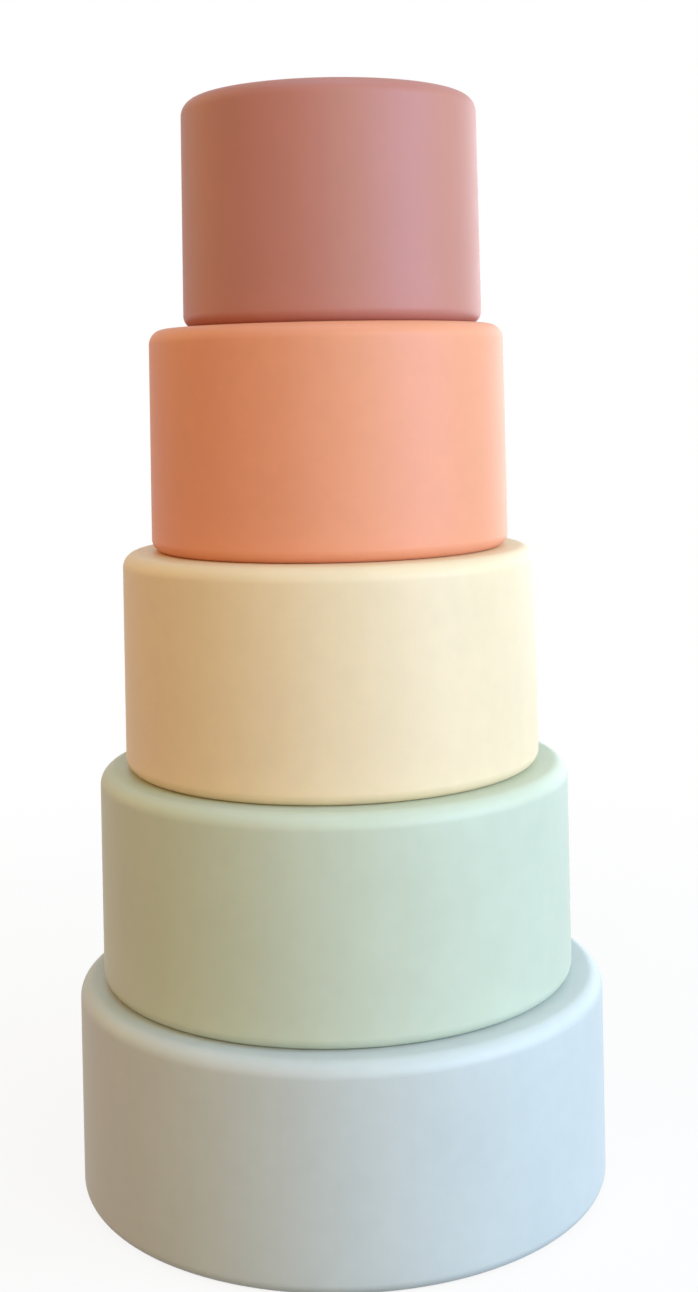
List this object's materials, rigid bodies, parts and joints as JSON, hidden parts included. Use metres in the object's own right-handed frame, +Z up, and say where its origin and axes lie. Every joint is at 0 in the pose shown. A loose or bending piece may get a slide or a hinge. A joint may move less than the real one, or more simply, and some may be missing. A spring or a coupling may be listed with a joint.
{
  "type": "stacking ring toy",
  "caption": "Tapering tower of plain soft silicone rings, wide at the foot and narrow at the top, that stack mouth down, lift off one by one and nest inside one another.",
  "frame": {"origin": "middle of the base ring's foot, on the surface that the tower stands on", "axes": "+Z up the tower; -Y towards the side that the picture shows, +X to its right"},
  "size_m": [0.096, 0.096, 0.1925],
  "materials": {
    "dusty_blue_silicone": "matte moulded silicone",
    "sage_green_silicone": "matte moulded silicone",
    "cream_silicone": "matte moulded silicone",
    "terracotta_silicone": "matte moulded silicone",
    "mauve_silicone": "matte moulded silicone"
  },
  "bodies": {
    "base": {"base_ring": "dusty_blue_silicone"},
    "lower": {"lower_ring": "sage_green_silicone"},
    "middle": {"middle_ring": "cream_silicone"},
    "upper": {"upper_ring": "terracotta_silicone"},
    "top": {"top_ring": "mauve_silicone"}
  },
  "joints": [
    {"name": "lower_lift", "type": "slide", "parent": "base", "child": "lower", "axis": [0, 0, 1], "range_m": [0, 0.06]},
    {"name": "middle_lift", "type": "slide", "parent": "lower", "child": "middle", "axis": [0, 0, 1], "range_m": [0, 0.06]},
    {"name": "upper_lift", "type": "slide", "parent": "middle", "child": "upper", "axis": [0, 0, 1], "range_m": [0, 0.06]},
    {"name": "top_lift", "type": "slide", "parent": "upper", "child": "top", "axis": [0, 0, 1], "range_m": [0, 0.06]}
  ]
}
